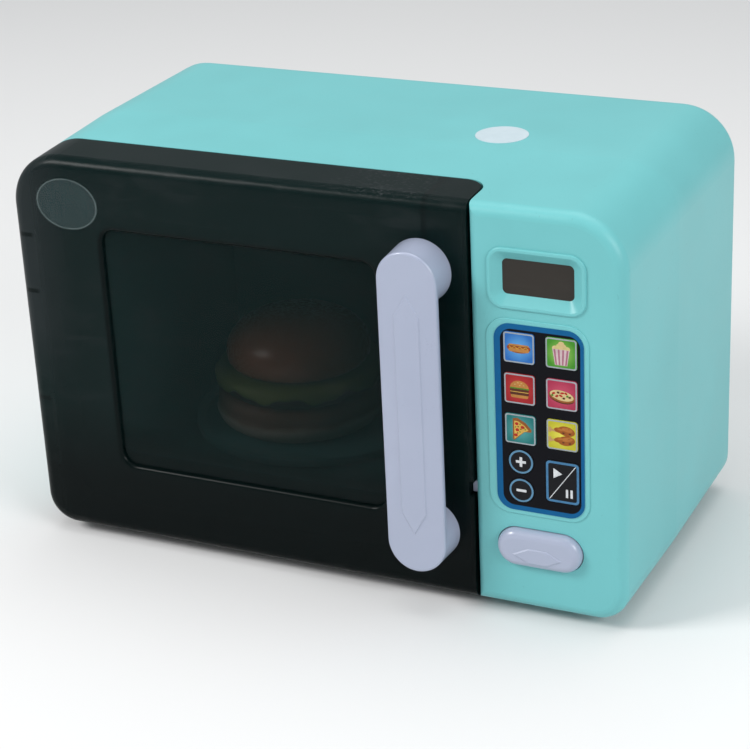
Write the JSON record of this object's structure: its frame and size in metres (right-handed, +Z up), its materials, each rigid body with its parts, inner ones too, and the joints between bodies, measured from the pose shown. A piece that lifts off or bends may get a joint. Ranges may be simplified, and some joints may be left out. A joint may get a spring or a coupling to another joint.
{
  "type": "toy microwave",
  "caption": "Play microwave oven with a swinging smoke-tinted door, bar handle, press keys, release button, turning table and toy burger, in a rounded casing.",
  "frame": {"origin": "centre of the bounding box at the bottom of the feet", "axes": "+X to the right seen from the front, +Y from the door to the back, +Z up"},
  "size_m": [0.286, 0.1648, 0.1872],
  "materials": {
    "mint_shell": "smooth satin moulding",
    "mint_inner": "satin moulding",
    "grey_inner": "plain inner moulding",
    "smoke_door": "polished translucent smoke moulding",
    "white_gloss": "gloss moulding",
    "white_gear": "low-friction moulding",
    "turntable": "satin moulding",
    "screw_steel": "zinc plated",
    "pin_steel": "bright steel",
    "cell_wrap": "plain wrapper",
    "foot_rubber": "soft matte",
    "board_green": "solder mask",
    "speaker_black": "pressed basket",
    "display_smoke": "polished dark lens",
    "lamp_clear": "frosted clear",
    "keypad_print": "printed film",
    "clear_label": "clear blank film",
    "pale_label": "blank film",
    "bun": "soft vinyl",
    "patty_brown": "soft vinyl",
    "lettuce_green": "soft vinyl",
    "key_blue": "printed key",
    "key_green": "printed key",
    "key_red": "printed key",
    "key_crimson": "printed key",
    "key_teal": "printed key",
    "key_yellow": "printed key",
    "key_dark": "printed key"
  },
  "bodies": {
    "case": {"front_housing": "mint_shell", "rear_cover": "mint_shell", "cavity_liner": "mint_inner", "battery_cover": "mint_inner", "chassis_plate": "grey_inner", "gearbox_plate": "grey_inner", "display_module": "grey_inner", "tact_switches": "grey_inner", "chassis_screws": "screw_steel", "rear_cover_screws": "screw_steel", "battery_cover_screw": "screw_steel", "board_screws": "screw_steel", "idler_axle": "pin_steel", "latch_spring": "pin_steel", "button_spring": "pin_steel", "battery_contacts": "pin_steel", "drive_motor": "pin_steel", "battery_cells": "cell_wrap", "rubber_feet": "foot_rubber", "control_board": "board_green", "speaker": "speaker_black", "display_lens": "display_smoke", "lamp_lens": "lamp_clear", "lamp_led": "lamp_clear", "keypad_overlay": "keypad_print", "top_label": "pale_label"},
    "door": {"door_panel": "smoke_door", "door_handle": "white_gloss", "handle_screws": "screw_steel", "hinge_pins": "pin_steel", "door_label": "clear_label"},
    "turntable": {"turntable_plate": "turntable", "turntable_hub": "white_gear"},
    "idler": {"idler_gear": "white_gear"},
    "pinion": {"motor_pinion": "white_gear"},
    "release": {"release_button": "white_gloss"},
    "latch": {"door_latch": "white_gloss"},
    "burger": {"bun_bottom": "bun", "patty": "patty_brown", "lettuce": "lettuce_green", "bun_top": "bun"},
    "key_hot_dog": {"key_hot_dog": "key_blue"},
    "key_popcorn": {"key_popcorn": "key_green"},
    "key_burger": {"key_burger": "key_red"},
    "key_pasta": {"key_pasta": "key_crimson"},
    "key_pizza": {"key_pizza": "key_teal"},
    "key_drumstick": {"key_drumstick": "key_yellow"},
    "key_plus": {"key_plus": "key_dark"},
    "key_minus": {"key_minus": "key_dark"},
    "key_play_pause": {"key_play_pause": "key_dark"}
  },
  "joints": [
    {"name": "door_hinge", "type": "hinge", "parent": "case", "child": "door", "pos_m": [-0.1365, -0.053, 0.095], "axis": [0, 0, -1], "range_deg": [0, 100]},
    {"name": "turntable_spin", "type": "hinge", "parent": "case", "child": "turntable", "pos_m": [-0.0328, 0.0052, 0.046], "axis": [0, 0, 1], "continuous": true},
    {"name": "idler_spin", "type": "hinge", "parent": "case", "child": "idler", "pos_m": [-0.0075, 0.0052, 0.038], "axis": [0, 0, 1], "continuous": true},
    {"name": "pinion_spin", "type": "hinge", "parent": "case", "child": "pinion", "pos_m": [0.0136, 0.0052, 0.038], "axis": [0, 0, 1], "continuous": true},
    {"name": "release_press", "type": "slide", "parent": "case", "child": "release", "axis": [0, 1, 0], "range_m": [0, 0.0035], "stiffness_N_per_m": 300, "deforming": ["button_spring"]},
    {"name": "latch_slide", "type": "slide", "parent": "case", "child": "latch", "axis": [1, 0, 0], "range_m": [0, 0.0035], "stiffness_N_per_m": 150, "deforming": ["latch_spring"]},
    {"name": "burger_lift", "type": "slide", "parent": "turntable", "child": "burger", "axis": [0, 0, 1], "range_m": [0, 0.04]},
    {"name": "key_hot_dog_press", "type": "slide", "parent": "case", "child": "key_hot_dog", "axis": [0, 1, 0], "range_m": [0, 0.0008], "stiffness_N_per_m": 500},
    {"name": "key_popcorn_press", "type": "slide", "parent": "case", "child": "key_popcorn", "axis": [0, 1, 0], "range_m": [0, 0.0008], "stiffness_N_per_m": 500},
    {"name": "key_burger_press", "type": "slide", "parent": "case", "child": "key_burger", "axis": [0, 1, 0], "range_m": [0, 0.0008], "stiffness_N_per_m": 500},
    {"name": "key_pasta_press", "type": "slide", "parent": "case", "child": "key_pasta", "axis": [0, 1, 0], "range_m": [0, 0.0008], "stiffness_N_per_m": 500},
    {"name": "key_pizza_press", "type": "slide", "parent": "case", "child": "key_pizza", "axis": [0, 1, 0], "range_m": [0, 0.0008], "stiffness_N_per_m": 500},
    {"name": "key_drumstick_press", "type": "slide", "parent": "case", "child": "key_drumstick", "axis": [0, 1, 0], "range_m": [0, 0.0008], "stiffness_N_per_m": 500},
    {"name": "key_plus_press", "type": "slide", "parent": "case", "child": "key_plus", "axis": [0, 1, 0], "range_m": [0, 0.0008], "stiffness_N_per_m": 500},
    {"name": "key_minus_press", "type": "slide", "parent": "case", "child": "key_minus", "axis": [0, 1, 0], "range_m": [0, 0.0008], "stiffness_N_per_m": 500},
    {"name": "key_play_pause_press", "type": "slide", "parent": "case", "child": "key_play_pause", "axis": [0, 1, 0], "range_m": [0, 0.0008], "stiffness_N_per_m": 500}
  ],
  "couplings": [
    {"joint": "idler_spin", "follows": "turntable_spin", "ratio": -5},
    {"joint": "pinion_spin", "follows": "turntable_spin", "ratio": 25},
    {"joint": "latch_slide", "follows": "release_press", "ratio": 1}
  ]
}
